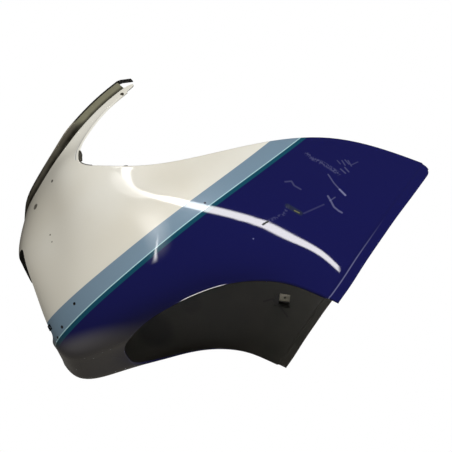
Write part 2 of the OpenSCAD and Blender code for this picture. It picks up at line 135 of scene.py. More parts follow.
def net_weights():
    by_station = []
    for line in guide_net():
        ghosts = np.vstack([line[2:0:-1] * mirror, line])
        smooth = pulled(ghosts)[1:]
        by_station.append(np.vstack([smooth, [2 * smooth[-1] - smooth[-2]]]))
    rows = pulled(np.array(by_station))
    return np.concatenate([[2 * rows[0] - rows[1]], rows, [2 * rows[-1] - rows[-2]]])


weights = net_weights()


def spline(t):
    s = 1 - t
    return np.stack([s**3, 3 * t**3 - 6 * t**2 + 4, -3 * t**3 + 3 * t**2 + 3 * t + 1, t**3], -1) / 6


def spline_rate(t):
    s = 1 - t
    return np.stack([-(s**2), 3 * t**2 - 4 * t, -3 * t**2 + 2 * t + 1, t**2], -1) / 2


def unit(v):
    return v / np.linalg.norm(v, axis=-1, keepdims=True)


def skin(u, v):
    """Points of the skin at stations u and lines v, with both tangents."""
    u, v = np.broadcast_arrays(np.asarray(u, float), np.asarray(v, float))
    i = np.minimum(np.floor(u), last_station - 1).astype(int)
    j = np.minimum(np.floor(v), last_line - 1).astype(int)
    four = np.arange(4)
    q = weights[(j[..., None] + four)[..., :, None], (i[..., None] + four)[..., None, :]]
    bu, bv = spline(u - i), spline(v - j)
    du, dv = spline_rate(u - i), spline_rate(v - j)
    pairs = (bv, bu), (bv, du), (dv, bu)
    return tuple(np.einsum("...a,...b,...abk->...k", a, b, q) for a, b in pairs)


def sample(u, v):
    """Point and outward normal."""
    p, su, sv = skin(u, v)
    return p, unit(np.cross(su, sv))


def length(v):
    return np.linalg.norm(v, axis=-1)


def outline(a):
    """Station and line of the upper outline: screen edge, arm foot, notch, top of the side."""
    if a <= foot_start:
        return a, top_line
    if a <= arm_front:
        t = (a - foot_start) / (arm_front - foot_start)
        bend = np.array(foot_bend)
        while len(bend) > 1:
            bend = bend[:-1] + (bend[1:] - bend[:-1]) * t
        return tuple(bend[0])
    if a <= arm_back:
        return a, foot_v
    if a <= notch_top:
        return arm_back, foot_v + (notch_v - foot_v) * (a - arm_back) / (notch_top - arm_back)
    if a <= notch_end:
        turn = (a - notch_top) / (notch_end - notch_top) * math.pi / 2
        v = notch_v - (notch_v - top_line) * math.sin(turn)
        return arm_back + notch_u * (1 - math.cos(turn)), v
    t = (a - notch_end) / (last_station - notch_end)
    return arm_back + notch_u + (last_station - arm_back - notch_u) * t, top_line


def rounded(p, q):
    """Point of a unit square, moved so that the corner at 0, 0 becomes round."""
    s, t = 1 - p, 1 - q
    return 1 - s * math.sqrt(1 - t**2 / 2), 1 - t * math.sqrt(1 - s**2 / 2)


rate_lines = np.linspace(0, top_line, 241)
rear_rate = length(skin(last_station, rate_lines)[1])
top_rate = float(length(skin(last_station, top_line)[2]))


def rear_u(v, gap):
    return last_station - gap / np.interp(v, rate_lines, rear_rate)


def place(a, gap, b):
    """Station and line of the point on column a, or gap metres off the rear edge, and row b."""
    if gap is not None:
        drop = (top_line - b) * top_rate
        if drop < corner_r and gap < corner_r:
            p, q = rounded(gap / corner_r, drop / corner_r)
            gap, b = corner_r * p, top_line - corner_r * q / top_rate
        return rear_u(b, gap), b
    if a > notch_end:
        start = notch_end + (arm_back + notch_u - notch_end) * max(0, b - lamp_high)
        run = rear_u(b, rear_gaps[0]) - start
        return start + run * (a - notch_end) / (last_station - notch_end), b
    if b > lamp_high:
        end, rise = outline(a), b - lamp_high
        return a + (end[0] - a) * rise, lamp_high + (end[1] - lamp_high) * rise
    if a <= lamp_station and b >= lamp_low:
        low = b < (lamp_low + lamp_high) / 2
        p = (lamp_station - a) / lamp_corner[0]
        q = (b - lamp_low if low else lamp_high - b) / lamp_corner[1]
        if p < 1 and q < 1:
            p, q = rounded(p, q)
            rise = lamp_corner[1] * q
            return lamp_station - lamp_corner[0] * p, lamp_low + rise if low else lamp_high - rise
    return a, b


def split(stops, parts):
    """Every stop, with the stretch after each cut into as many parts as parts says."""
    out = []
    for a, b, n in zip(stops, stops[1:], parts):
        out += [a + (b - a) * k / n for k in range(n)]
    return out + [stops[-1]]


# Columns run from the mirror plane to the rear edge, rows from the lip up to the top line
lip_clear = 0.2
lip_turn, lip_parts = 80, 10
rear_gaps = [joggle_w + joggle_run * k for k in (2, 1.5, 1, 0.5, 0)]
rear_gaps += [joggle_w * k / 8 for k in range(7, -1, -1)]
column_stops = [0, foot_start, lamp_station - lamp_corner[0], lamp_station, arm_front, arm_back]
column_stops += [notch_top, notch_end, last_station]
column_parts = [8, 3, 6, 10, 10, 4, 10, 40]
row_stops = [lip_clear, lamp_low, lamp_low + lamp_corner[1], lamp_high - lamp_corner[1]]
row_stops += [lamp_high, top_line]
row_parts = [20, 5, 14, 5, 16]
columns = [(a, None) for a in split(column_stops, column_parts)[:-1]]
columns += [(last_station, gap) for gap in rear_gaps]
lip_turns = [math.radians(lip_turn - lip_turn / lip_parts * k) for k in range(lip_parts + 1)]
rows = [(0, turn) for turn in lip_turns]
rows += [(b, None) for b in split(row_stops, row_parts)]
column_a = [a for a, gap in columns]
row_b = [b for b, turn in rows]
lamp_column = column_a.index(lamp_station)
front_column = column_a.index(arm_front)
back_column = column_a.index(arm_back)
low_row = next(j for j, b in enumerate(row_b) if abs(b - lamp_low) < 1e-9)
high_row = next(j for j, b in enumerate(row_b) if abs(b - lamp_high) < 1e-9)


def step_in(gap):
    if gap is None:
        return 0
    t = min(1, max(0, (joggle_w + 2 * joggle_run - gap) / (2 * joggle_run)))
    return joggle_d * t * t * (3 - 2 * t)


def grid_points():
    """Outer points and normals of the plain wall, column by column."""
    uv = np.array([[place(a, gap, b) for b, turn in rows] for a, gap in columns])
    p, n = sample(uv[..., 0], uv[..., 1])
    for j, turn in enumerate(lip_turns):
        u = uv[:, j, 0]
        start = lip_r / length(skin(u, np.zeros_like(u))[2])
        q, su, sv = skin(u, start)
        m = unit(np.cross(su, sv))
        off = -unit(np.cross(m, su))
        p[:, j] = q + lip_r * (math.sin(turn) * off - (1 - math.cos(turn)) * m)
        n[:, j] = math.cos(turn) * m + math.sin(turn) * off
    inset = np.array([step_in(gap) for a, gap in columns])
    return p - inset[:, None, None] * n, n


arm_rows = 40
tip_round = 0.25


def arm_points():
    a = np.array(column_a[front_column:back_column + 1])[:, None]
    t = np.arange(1, arm_rows + 1)[None, :] / arm_rows
    arm_middle = (arm_front + arm_back) / 2
    tip = last_line - tip_round * np.abs(2 * (a - arm_middle)) ** 3
    return sample(np.broadcast_to(a, (len(a), arm_rows)), foot_v + (tip - foot_v) * t)


def hung_strip(line, normals, profile, before=None):
    """Rows of points off an edge. Each profile entry is distance off the edge, depth and turn."""
    ahead = np.vstack([line[1:], line[-1:]])
    behind = np.vstack([line[:1] if before is None else before, line[:-1]])
    off = unit(np.cross(normals, ahead - behind))
    p = [line + s * off + t * normals for s, t, turn in profile]
    n = [math.cos(turn) * normals + math.sin(turn) * off for s, t, turn in profile]
    return np.stack(p, 1), np.stack(n, 1), off


def eased(t):
    return t * t * (3 - 2 * t)


def on_flange(w):
    off, depth = flange_step + w * math.cos(flange_lean), w * math.sin(flange_lean) - flange_d
    return off, depth, -flange_lean


step_parts, flange_parts, rim_parts = 6, 6, 8
step_turn, rim_turn = math.radians(160), math.radians(85)
flange_profile = []
for k in range(1, step_parts):
    t = k / step_parts
    flange_profile.append((flange_step * t, -flange_d * eased(t), step_turn * t * (1 - t)))
flange_profile += [(flange_step, -flange_d, 0)]
flange_profile += [on_flange(flange_w * k / flange_parts) for k in range(1, flange_parts + 1)]
rim_profile = []
for k in range(1, rim_parts + 1):
    turn = rim_turn * k / rim_parts
    rim_profile.append((rim_r * math.sin(turn), -rim_r * (1 - math.cos(turn)), turn))

grid_p, grid_n = grid_points()
arm_p, arm_n = arm_points()
columns_n, rows_n = grid_p.shape[:2]
front_p = np.vstack([grid_p[:front_column + 1, -1], arm_p[0]])
front_n = np.vstack([grid_n[:front_column + 1, -1], arm_n[0]])
back_p = np.vstack([arm_p[-1, ::-1], grid_p[back_column:, -1]])
back_n = np.vstack([arm_n[-1, ::-1], grid_n[back_column:, -1]])
flange_p, flange_n, flange_off = hung_strip(front_p, front_n, flange_profile, front_p[1:2] * mirror)
rim_p, rim_n, rim_off = hung_strip(back_p, back_n, rim_profile)

blocks = [grid_p, arm_p, flange_p, rim_p]
outer = np.vstack([b.reshape(-1, 3) for b in blocks])
normals = np.vstack([b.reshape(-1, 3) for b in (grid_n, arm_n, flange_n, rim_n)])
inner = outer - wall * normals
starts = np.cumsum([0] + [b.shape[0] * b.shape[1] for b in blocks])
# Fields for the finish and for its painted shade and highlights: share of the way over the flange,
# then distances in metres, 1 being far, from the back edge of an arm and from the crease of the
# stepped strip
far = 1
foot_rows = 8
across = np.zeros(len(outer))
flange_shares = [s / flange_profile[-1][0] for s, t, turn in flange_profile]
across[starts[2]:starts[3]] = np.tile(flange_shares, len(front_p))
from_back = np.full(len(outer), float(far))
arm_gaps = length(arm_p - arm_p[-1:])
foot_gaps = length(grid_p - grid_p[back_column:back_column + 1])
foot_gaps[:front_column], foot_gaps[back_column + 1:] = far, far
foot_gaps[:, :rows_n - foot_rows] = far
from_back[starts[0]:starts[1]] = foot_gaps.ravel()
from_back[starts[1]:starts[2]] = arm_gaps.ravel()
from_crease = np.full((columns_n, rows_n), float(far))
for i, (a, gap) in enumerate(columns):
    if gap is not None:
        from_crease[i] = abs(gap - joggle_w)
past_grid = np.full(len(outer) - columns_n * rows_n, float(far))
from_crease = np.concatenate([from_crease.ravel(), past_grid])


def grid_id(i, j):
    return i * rows_n + j


def arm_id(i, r):
    if r == 0:
        return grid_id(i, rows_n - 1)
    return int(starts[1]) + (i - front_column) * arm_rows + r - 1


front_ids = [grid_id(i, rows_n - 1) for i in range(front_column + 1)]
front_ids += [arm_id(front_column, r) for r in range(1, arm_rows + 1)]
back_ids = [arm_id(back_column, r) for r in range(arm_rows, 0, -1)]
back_ids += [grid_id(i, rows_n - 1) for i in range(back_column, columns_n)]


def flange_id(k, m):
    return front_ids[k] if m == 0 else int(starts[2]) + k * len(flange_profile) + m - 1


def rim_id(k, m):
    return back_ids[k] if m == 0 else int(starts[3]) + k * len(rim_profile) + m - 1


def patch(vertex, ii, jj, skip=lambda i, j: False):
    return [
        (vertex(i, j), vertex(i + 1, j), vertex(i + 1, j + 1), vertex(i, j + 1))
        for i in ii for j in jj if not skip(i, j)
    ]


def lamp_hole(i, j):
    return i < lamp_column and low_row <= j < high_row


# The paint runs over the edge and some way down the step to the sunk flange
painted_step = 2
painted = patch(grid_id, range(columns_n - 1), range(rows_n - 1), lamp_hole)
painted += patch(arm_id, range(front_column, back_column), range(arm_rows))
painted += patch(rim_id, range(len(back_ids) - 1), range(len(rim_profile)))
painted += patch(flange_id, range(len(front_ids) - 1), range(painted_step))
sunk = patch(flange_id, range(len(front_ids) - 1), range(painted_step, len(flange_profile)))
outer_rim = [grid_id(i, 0) for i in range(columns_n)]
outer_rim += [grid_id(columns_n - 1, j) for j in range(1, rows_n)]
outer_rim += [rim_id(len(back_ids) - 1, m) for m in range(1, len(rim_profile) + 1)]
outer_rim += [rim_id(k, len(rim_profile)) for k in range(len(back_ids) - 2, -1, -1)]
outer_rim += [rim_id(0, m) for m in range(len(rim_profile) - 1, -1, -1)]
outer_rim += [arm_id(i, arm_rows) for i in range(back_column - 1, front_column - 1, -1)]
outer_rim += [flange_id(len(front_ids) - 1, m) for m in range(1, len(flange_profile) + 1)]
outer_rim += [flange_id(k, len(flange_profile)) for k in range(len(front_ids) - 2, -1, -1)]
lamp_rim = [grid_id(i, high_row) for i in range(lamp_column + 1)]
lamp_rim += [grid_id(lamp_column, j) for j in range(high_row - 1, low_row - 1, -1)]
lamp_rim += [grid_id(i, low_row) for i in range(lamp_column - 1, -1, -1)]

PAINT, FLANGE, INSIDE = 0, 1, 2
half = len(outer)
faces, finish = [], []
for quads, slot in ((painted, PAINT), (sunk, FLANGE)):
    for q in quads:
        faces += [q, tuple(half + k for k in reversed(q))]
        finish += [slot, INSIDE]
for edge in (outer_rim, lamp_rim):
    for a, b in zip(edge, edge[1:]):
        faces.append((a, half + a, half + b, b))
        finish.append(INSIDE)
points = np.clip(np.vstack([outer, inner, outer * mirror, inner * mirror]), *cad_box)
faces += [tuple(2 * half + k for k in reversed(q)) for q in faces]
finish += finish


def mesh_object(name, points, faces, slots, finish=None, fields=None):
    mesh = bpy.data.meshes.new(name)
    mesh.from_pydata([tuple(p) for p in points], [], faces)
    for material in slots:
        mesh.materials.append(material)
    if finish is not None:
        mesh.polygons.foreach_set("material_index", finish)
    for field, values in (fields or {}).items():
        mesh.attributes.new(field, "FLOAT", "POINT").data.foreach_set("value", values)
    piece = bpy.data.objects.new(name, mesh)
    bpy.context.scene.collection.objects.link(piece)
    return piece


# Core of a drawn line as a share of its half width, and the noise levels at which it breaks off
line_core = 0.35
line_breaks = (0.42, 0.58)


class Maker:
    """Short ways to add the nodes of one material."""

    def __init__(self, name):
        self.material = bpy.data.materials.new(name)
        self.material.use_nodes = True
        self.nodes, self.links = self.material.node_tree.nodes, self.material.node_tree.links
        self.shader = self.nodes["Principled BSDF"]
        self.place = self.nodes.new("ShaderNodeTexCoord").outputs["Object"]

    def put(self, socket, value):
        if isinstance(value, bpy.types.NodeSocket):
            self.links.new(value, socket)
        else:
            socket.default_value = value

    def math(self, kind, a, b=0.0, clamp=False):
        node = self.nodes.new("ShaderNodeMath")
        node.operation = kind
        node.use_clamp = clamp
        self.put(node.inputs[0], a)
        self.put(node.inputs[1], b)
        return node.outputs[0]

    def noise(self, scale, detail):
        node = self.nodes.new("ShaderNodeTexNoise")
        self.put(node.inputs["Vector"], self.place)
        node.inputs["Scale"].default_value = scale
        node.inputs["Detail"].default_value = detail
        return node.outputs["Fac"]

    def ramp(self, value, low, high):
        node = self.nodes.new("ShaderNodeMapRange")
        node.interpolation_type = "SMOOTHSTEP"
        self.put(node.inputs["Value"], value)
        node.inputs["From Min"].default_value = low
        node.inputs["From Max"].default_value = high
        return node.outputs["Result"]

    def mix(self, share, a, b):
        node = self.nodes.new("ShaderNodeMix")
        node.data_type = "RGBA"
        self.put(node.inputs["Factor"], share)
        self.put(node.inputs["A"], a if isinstance(a, bpy.types.NodeSocket) else (*a, 1))
        self.put(node.inputs["B"], b if isinstance(b, bpy.types.NodeSocket) else (*b, 1))
        return node.outputs["Result"]

    def bump(self, height, strength, distance):
        node = self.nodes.new("ShaderNodeBump")
        node.inputs["Strength"].default_value = strength
        node.inputs["Distance"].default_value = distance
        self.put(node.inputs["Height"], height)
        self.links.new(node.outputs["Normal"], self.shader.inputs["Normal"])

    def field(self, name):
        node = self.nodes.new("ShaderNodeAttribute")
        node.attribute_name = name
        return node.outputs["Fac"]

    def vector(self, kind, a, b=(0, 0, 0)):
        node = self.nodes.new("ShaderNodeVectorMath")
        node.operation = kind
        self.put(node.inputs[0], a)
        self.put(node.inputs[1], b)
        return node.outputs["Value" if kind in ("LENGTH", "DISTANCE", "DOT_PRODUCT") else "Vector"]

    def near(self, point, radius, soft, rough=0.0):
        """1 inside a ball round a point given in millimetres, with an uneven edge."""
        gap = self.vector("DISTANCE", self.place, tuple(c / 1000 for c in point))
        if rough:
            uneven = self.math("SUBTRACT", self.noise(300.0, 3.0), 0.5)
            gap = self.math("ADD", gap, self.math("MULTIPLY", uneven, rough))
        return self.ramp(gap, radius + soft, radius)

    def line(self, marks, width, rough=0.0):
        """1 along a broken line through points given in millimetres."""
        shares = []
        for a, b in zip(marks, marks[1:]):
            a, b = Vector(a) / 1000, Vector(b) / 1000
            run = b - a
            from_a = self.vector("SUBTRACT", self.place, tuple(a))
            along = self.vector("DOT_PRODUCT", from_a, tuple(run / run.length_squared))
            t = self.math("ADD", along, 0.0, True)
            across = self.nodes.new("ShaderNodeVectorMath")
            across.operation = "SCALE"
            across.inputs[0].default_value = tuple(run)
            self.put(across.inputs["Scale"], t)
            gap = self.vector("LENGTH", self.vector("SUBTRACT", from_a, across.outputs["Vector"]))
            shares.append(self.ramp(gap, width, width * line_core))
        total = shares[0]
        for share in shares[1:]:
            total = self.math("MAXIMUM", total, share)
        if rough:
            breaks = self.ramp(self.noise(rough, 3.0), *line_breaks)
            total = self.math("MULTIPLY", total, breaks)
        return total

    def set(self, **values):
        for name, value in values.items():
            self.put(self.shader.inputs[name.replace("_", " ")], value)


def srgb(*levels):
    shares = (level / 255 for level in levels)
    return tuple(c / 12.92 if c <= 0.04045 else ((c + 0.055) / 1.055) ** 2.4 for c in shares)


pearl_white = srgb(236, 234, 224)
warm_shade = srgb(226, 221, 206)
grey_blue = srgb(116, 140, 158)
pin_blue = srgb(176, 214, 220)
teal = srgb(14, 72, 92)
deep_blue = srgb(17, 19, 76)
# Grey of the painted shade under the nose, where it faces down
belly_shade_grey = srgb(96, 94, 98)
# Stripe edges on the side, each z = c0 + c1 y + c2 y y in metres
white_edge = (0.2849, 0.6788, 0.3090)
pin_edge = (0.2454, 0.6470, 0.1709)
teal_edge = (0.2344, 0.6465, 0.1708)
edge_soft = 0.0004
belly_shade_z, belly_shade_y = (0.042, 0.015), (-0.08, -0.16)
# Painted highlight along the back of each arm and the painted shadow line beside it: widths in
# metres
rim_highlight_w, rim_shadow_line = (0.0062, 0.0045), ((0.0014, 0.0020), (0.0042, 0.0032))
# Painted highlight on the crease by the rear edge: its width in metres and the heights over which
# it fades in
crease_highlight_w, crease_highlight_z = (0.0017, 0.0005), (0.16, 0.05)
sheen_z = (0.44, 0.40)
pin_half = 0.0011
# Colour of the painted highlight on the rim of each arm
rim_highlight_white = srgb(250, 250, 244)
# Grey of the scratches, also the colour of the painted highlight on the rear crease
scratch_and_highlight_grey = srgb(150, 152, 190)
# Scratches: polyline in millimetres, half width, share of the colour and scale of its breaks
scratch_share = 0.6
scratches = [
    ([(271, 208, 263), (273, 214, 242), (274, 222, 225)], 0.0022, 0.35, 0.0),
    ([(274, 222, 225), (274, 230, 211)], 0.0030, 0.9, 0.0),
    ([(275, 194, 212), (275, 197, 201), (275, 200, 187), (275, 207, 178), (274, 213, 173)],
     0.0028, 0.5, 0.0),
    ([(275, 195, 201), (275, 208, 208)], 0.0018, 0.3, 0.0),
    ([(266, 178, 318), (268, 188, 304), (269, 203, 293), (270, 215, 281), (271, 230, 264)],
     0.0070, 0.28, 260.0),
    ([(268, 237, 296), (268, 241, 287)], 0.0020, 0.22, 0.0),
    ([(267, 247, 295), (268, 250, 283)], 0.0022, 0.25, 0.0),
    ([(267, 254, 296), (268, 259, 285)], 0.0022, 0.25, 0.0),
    ([(267, 260, 294), (268, 263, 280)], 0.0022, 0.25, 0.0),
    ([(269, 238, 274), (270, 245, 263)], 0.0024, 0.3, 0.0),
    ([(269, 248, 277), (270, 253, 266)], 0.0024, 0.3, 0.0),
    ([(268, 265, 283), (267, 280, 289)], 0.0018, 0.2, 0.0),
    ([(273, 116, 254), (273, 129, 254), (274, 132, 243), (275, 143, 233)], 0.0026, 0.22, 0.0),
    ([(276, 137, 179), (275, 181, 194)], 0.0024, 0.14, 0.0),
    ([(274, 66, 171), (276, 98, 182), (276, 110, 199)], 0.0045, 0.2, 200.0),
]
# The scuff, its core and the deepest tick: polyline in millimetres, half width and colour
scuff = [(276, 108, 199), (276, 130, 180)], 0.007, srgb(48, 56, 50)
scuff_core = [(276, 120, 187), (276, 128, 181)], 0.0016, srgb(112, 112, 72)
deep_tick = [(274, 53, 165), (274, 64, 170)], 0.0028, srgb(60, 62, 60)
# Colour of the painted shadow line beside the rim of each arm
rim_shadow_grey = srgb(120, 118, 108)
# Shares of the colour of the painted highlight on the arm's rim, its painted shadow line, the
# painted highlight on the rear crease and the scuff
rim_highlight_share, rim_shadow_share, crease_highlight_share, scuff_share = 0.9, 0.7, 0.4, 0.5
# Under the lacquer: roughness and specular level of the blue, and what the light tones change
blue_rough, light_smooth = 0.7, 0.36
blue_specular, light_specular = 0.03, 0.5
coat_rough = 0.03
# Chips and specks: place in millimetres, radius, soft edge, unevenness and colour
chips = [
    ((131, -385, 329), 0.0062, 0.0012, 0.009, srgb(104, 100, 90)),
    ((173, -344, 363), 0.0030, 0.0008, 0.004, srgb(70, 66, 60)),
    ((164, -353, 243), 0.0016, 0.0006, 0.0, srgb(110, 104, 90)),
    ((166, -350, 226), 0.0013, 0.0006, 0.0, srgb(120, 112, 96)),
    ((144, -341, 55), 0.0028, 0.0008, 0.0, srgb(22, 24, 28)),
    ((124, -352, 42), 0.0024, 0.0008, 0.0, srgb(22, 24, 28)),
    ((269, -49, 226), 0.0022, 0.0008, 0.0, srgb(30, 40, 60)),
    ((271, 30, 139), 0.0010, 0.0008, 0.0, srgb(120, 124, 170)),
    ((184, -181, 569), 0.0040, 0.0008, 0.003, srgb(66, 62, 54)),
]


def axes_of(m):
    node = m.nodes.new("ShaderNodeSeparateXYZ")
    m.links.new(m.place, node.inputs[0])
    return node.outputs


def above(m, edge):
    """Height over a stripe edge, in metres."""
    slope = m.math("ADD", edge[1], m.math("MULTIPLY", m.y, edge[2]))
    curve = m.math("ADD", edge[0], m.math("MULTIPLY", m.y, slope))
    return m.math("SUBTRACT", m.z, curve)


def paint_material():
    m = Maker("sprayed_paint")
    m.x, m.y, m.z = axes_of(m)
    over_white, over_pin, over_teal = (above(m, edge) for edge in (white_edge, pin_edge, teal_edge))
    white = m.ramp(over_white, -edge_soft, edge_soft)
    pin = m.ramp(m.math("ABSOLUTE", over_pin), pin_half + edge_soft, pin_half - edge_soft)
    blue = m.ramp(over_pin, edge_soft, -edge_soft)
    deep = m.ramp(over_teal, edge_soft, -edge_soft)
    cloud = m.noise(3.0, 3.0)
    colour = m.mix(white, grey_blue, m.mix(m.ramp(cloud, 0.35, 0.7), pearl_white, warm_shade))
    colour = m.mix(blue, colour, teal)
    colour = m.mix(deep, colour, deep_blue)
    colour = m.mix(pin, colour, pin_blue)
    # Painted shade: grey on the underside of the nose, low down and towards the front
    belly_shade = m.math("MULTIPLY", m.ramp(m.z, *belly_shade_z), m.ramp(m.y, *belly_shade_y))
    colour = m.mix(belly_shade, colour, belly_shade_grey)
    # Painted highlight along the rolled rim up the back of each arm, with a thin painted shadow
    # line beside it
    gap = m.field("from_back")
    colour = m.mix(m.math("MULTIPLY", m.ramp(gap, *rim_highlight_w), rim_highlight_share), colour, rim_highlight_white)
    line = m.math("MULTIPLY", m.ramp(gap, *rim_shadow_line[0]), m.ramp(gap, *rim_shadow_line[1]))
    colour = m.mix(m.math("MULTIPLY", line, rim_shadow_share), colour, rim_shadow_grey)
    # Painted highlight along the crease of the stepped strip by the rear edge, more towards its
    # lower end
    crease_highlight = m.math("MULTIPLY", m.ramp(m.field("from_crease"), *crease_highlight_w), m.ramp(m.z, *crease_highlight_z))
    colour = m.mix(m.math("MULTIPLY", crease_highlight, crease_highlight_share), colour, scratch_and_highlight_grey)
    # Scratches and a greenish scuff in the blue on the left side
    for marks, width, share, rough in scratches:
        scratch = m.math("MULTIPLY", m.line(marks, width, rough), scratch_share * share)
        colour = m.mix(scratch, colour, scratch_and_highlight_grey)
    scuffed = m.math("MULTIPLY", m.line(*scuff[:2]), scuff_share)
    colour = m.mix(scuffed, colour, scuff[2])
    colour = m.mix(m.line(*scuff_core[:2]), colour, scuff_core[2])
    tick = m.line(*deep_tick[:2])
    for point, radius, soft, rough, tone in chips:
        colour = m.mix(m.near(point, radius, soft, rough), colour, tone)
    colour = m.mix(tick, colour, deep_tick[2])
    m.set(Base_Color=colour, IOR=1.45)
    # Soft sheen on the white and grey-blue of the sides, and sharp lacquer over all but the tick
    light = m.math("SUBTRACT", 1.0, blue)
    m.set(Roughness=m.math("SUBTRACT", blue_rough, m.math("MULTIPLY", light, light_smooth)))
    sheen = m.math("MULTIPLY", light, m.ramp(m.z, *sheen_z))
    gained = m.math("MULTIPLY", sheen, light_specular)
    m.set(Specular_IOR_Level=m.math("ADD", blue_specular, gained))
    m.set(Coat_Weight=m.math("SUBTRACT", 1.0, tick), Coat_Roughness=coat_rough)
    return m.material


# Dark marks inside the right side, in millimetres: a dark line, and two soft patches of painted
# shade towards the front
dark_line = [(-273, 151, 194), (-272, 177, 198), (-272, 196, 167), (-270, 207, 142)]
big_shade_at, faint_shade_at = (-244, -153, 142), (-266, -50, 214)


def inside_material():
    m = Maker("bare_black_abs")
    tone = m.noise(9.0, 4.0)
    colour = m.mix(m.ramp(tone, 0.3, 0.7), srgb(34, 34, 30), srgb(44, 42, 38))
    marks = m.line(dark_line, 0.0035)
    # Painted shade: two soft dark patches on the inside of the right side
    big_shade = m.near(big_shade_at, 0.030, 0.03, 0.01)
    faint_shade = m.near(faint_shade_at, 0.02, 0.02, 0.02)
    darkened = m.math("MAXIMUM", marks, m.math("MAXIMUM", big_shade, m.math("MULTIPLY", faint_shade, 0.6)))
    colour = m.mix(darkened, colour, srgb(12, 12, 11))
    m.set(Base_Color=colour, Roughness=0.55)
    m.bump(m.noise(900.0, 3.0), 0.15, 0.0003)
    return m.material


# The flange and its rubber change tone where the arm bends: above the bend the flange is lighter,
# painted light, and below it the rubber turns grey.
kink_z = (0.485, 0.508)


def flange_material():
    m = Maker("dusty_flange_painted_light")
    share, patchy = m.field("across"), m.noise(40.0, 4.0)
    _, _, z = axes_of(m)
    high = m.ramp(z, *kink_z)
    # Across the flange: painted shade beside the step, lighter outwards as a painted reflection,
    # and lighter above the bend as painted light. The pale patches are dust.
    low_tone = m.mix(m.ramp(share, 0.35, 0.8), srgb(32, 30, 24), srgb(80, 76, 66))
    high_tone = m.mix(m.ramp(share, 0.2, 0.5), srgb(62, 60, 50), srgb(122, 120, 100))
    colour = m.mix(high, low_tone, high_tone)
    dusted = m.mix(0.08, colour, srgb(160, 156, 140))
    m.set(Base_Color=m.mix(m.ramp(patchy, 0.35, 0.65), colour, dusted), Roughness=0.6)
    m.set(Specular_IOR_Level=0.0)
    return m.material


sharp_angle = math.radians(40)
paint, inside, sunk_finish = paint_material(), inside_material(), flange_material()
fields = {name: np.tile(field, 4) for name, field in (
    ("across", across), ("from_back", from_back), ("from_crease", from_crease),
)}
shell = mesh_object("moulded_shell", points, faces, [paint, sunk_finish, inside], finish, fields)
joined = bmesh.new()
joined.from_mesh(shell.data)
bmesh.ops.remove_doubles(joined, verts=joined.verts, dist=1e-6)
bmesh.ops.recalc_face_normals(joined, faces=joined.faces)
joined.to_mesh(shell.data)
joined.free()
# Plain drilled hole through each side, near the nose
hole_r = 0.003
hole_station, hole_line = 3.03, 2.87
for side in (1, -1):
    drill_p, drill_n = (v * np.array([side, 1, 1]) for v in sample(hole_station, hole_line))
    bit = bmesh.new()
    turn = Vector(drill_n).to_track_quat("Z", "Y").to_matrix().to_4x4()
    bmesh.ops.create_cone(
        bit, cap_ends=True, segments=40, radius1=hole_r, radius2=hole_r, depth=4 * wall,
        matrix=Matrix.Translation(Vector(drill_p)) @ turn,
    )
    bit_mesh = bpy.data.meshes.new("drill_bit")
    bit.to_mesh(bit_mesh)
    bit.free()
    for material in (paint, sunk_finish, inside):
        bit_mesh.materials.append(material)
    bit_mesh.polygons.foreach_set("material_index", [INSIDE] * len(bit_mesh.polygons))
    drill = bpy.data.objects.new("drill_bit", bit_mesh)
    bpy.context.scene.collection.objects.link(drill)
    cut = shell.modifiers.new("hole", "BOOLEAN")
    cut.object = drill
    cut.solver = "EXACT"
    graph = bpy.context.evaluated_depsgraph_get()
    drilled = bpy.data.meshes.new_from_object(shell.evaluated_get(graph))
    shell.modifiers.clear()
    shell.data = drilled
    bpy.data.objects.remove(drill)
shell.data.name = "moulded_shell"
shell.data.shade_smooth()
shell.data.set_sharp_from_angle(angle=sharp_angle)
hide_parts("fairing_shell")
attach(shell, "root")

# Rubber edging: one extruded length pushed over the edge of the sunk flange, round both arms and
# the nose, that runs on past the tip of each arm. The left tail bends level and the right one sags.
edging_t = 0.0015
edging_grip = 0.005
edging_tail = 0.028
tail_shares = (0.06, 0.3, 0.85)
tail_level = np.array([0.0, 0.995, 0.09])
tail_sag = np.array([0.0, 0.8, -0.6])
tail_w = 0.0085
edging_lip = 0.0032
rubber_fit = 0.0002
# Heights of the bend, below which the rubber turns grey, and of the rise of that grey: dust with a
# painted sheen
rubber_kink_z, dust_and_sheen_z = (0.508, 0.494), (0.40, 0.46)


def rubber_material():
    m = Maker("black_rubber")
    _, _, z = axes_of(m)
    black = m.mix(m.noise(60.0, 4.0), srgb(20, 20, 20), srgb(34, 33, 31))
    # Grey below the bend of the arm, more of it higher up: partly dust, partly a painted sheen
    dust_and_sheen = m.mix(m.ramp(m.noise(30.0, 4.0), 0.35, 0.65), srgb(104, 99, 88), srgb(140, 135, 122))
    by_height = m.math("ADD", 0.25, m.math("MULTIPLY", m.ramp(z, *dust_and_sheen_z), 0.65))
    dust_and_sheen_share = m.math("MULTIPLY", m.ramp(z, *rubber_kink_z), by_height)
    m.set(Base_Color=m.mix(dust_and_sheen_share, black, dust_and_sheen), Roughness=0.6, Specular_IOR_Level=0.2)
    m.bump(m.noise(700.0, 3.0), 0.2, 0.0003)
    return m.material


def tube_faces(rings, n):
    side = [
        (i * n + j, i * n + (j + 1) % n, (i + 1) * n + (j + 1) % n, (i + 1) * n + j)
        for i in range(rings - 1) for j in range(n)
    ]
    return side + [tuple(range(n))[::-1], tuple((rings - 1) * n + j for j in range(n))]


def closed(piece):
    made = bmesh.new()
    made.from_mesh(piece.data)
    bmesh.ops.recalc_face_normals(made, faces=made.faces)
    made.to_mesh(piece.data)
    made.free()
    piece.data.shade_smooth()
    piece.data.set_sharp_from_angle(angle=sharp_angle)
    return piece


